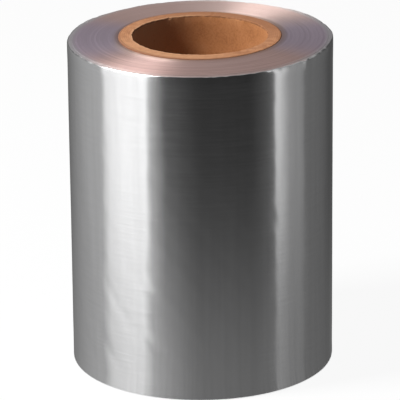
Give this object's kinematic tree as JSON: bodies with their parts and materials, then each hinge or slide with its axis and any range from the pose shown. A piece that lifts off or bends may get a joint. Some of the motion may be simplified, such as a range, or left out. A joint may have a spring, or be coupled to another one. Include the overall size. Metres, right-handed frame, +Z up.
{
  "type": "aluminium sealing film roll",
  "caption": "Roll of bright aluminium sealing film wound tight on an open card core, standing on its end, for the shaft of a cup sealing machine.",
  "frame": {"origin": "on the roll's axis, in the plane of the winding's lower end that the roll stands on", "axes": "+Z up along the roll's axis, -Y towards the side that the picture shows, +X to that side's right"},
  "size_m": [0.15, 0.1499, 0.1917],
  "materials": {
    "film": "bright rolled foil",
    "card": "matt kraft"
  },
  "bodies": {
    "root": {"film_winding": "film", "card_core": "card"}
  },
  "joints": []
}
